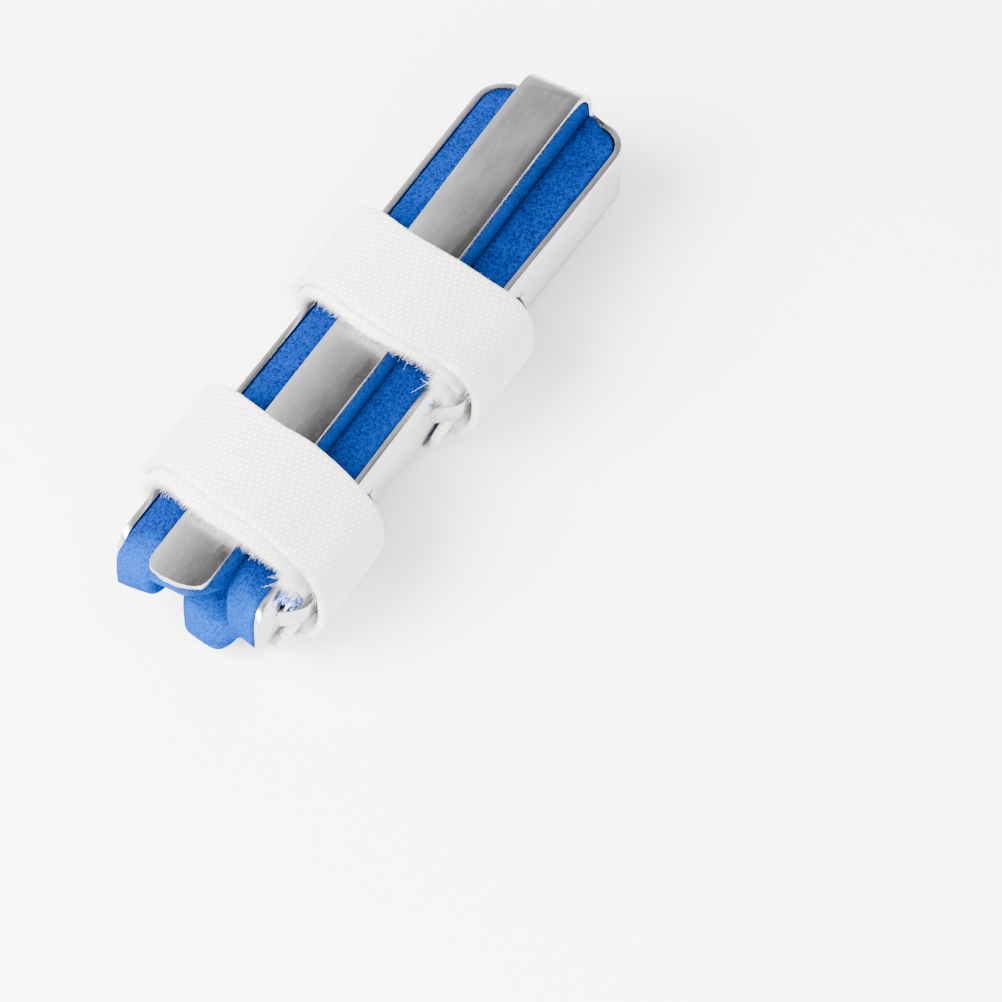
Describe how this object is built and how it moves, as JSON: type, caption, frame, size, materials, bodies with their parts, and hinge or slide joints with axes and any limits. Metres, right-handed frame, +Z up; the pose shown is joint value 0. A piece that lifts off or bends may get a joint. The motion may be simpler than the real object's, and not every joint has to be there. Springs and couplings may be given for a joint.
{
  "type": "finger splint",
  "caption": "Foam-lined sheet aluminium finger splint: bent prongs form a cage closed at the fingertip, held by hook and loop straps.",
  "frame": {"origin": "on the surface that it rests on, under the middle of its box", "axes": "+X from the open base end to the fingertip cap, +Y to the side away from the slotted prong, +Z up"},
  "size_m": [0.097, 0.0288, 0.0252],
  "materials": {
    "sheet_aluminium": "satin rolled sheet with bright cut edges",
    "blue_foam": "matt open-cell polyurethane foam",
    "white_strap": "off-white knitted hook and loop webbing with a fine diagonal rib"
  },
  "bodies": {
    "root": {"cage": "sheet_aluminium", "foam_top": "blue_foam", "foam_near": "blue_foam", "foam_far": "blue_foam", "foam_bottom": "blue_foam", "foam_tip": "blue_foam", "strap_front": "white_strap", "strap_rear": "white_strap"}
  },
  "joints": []
}
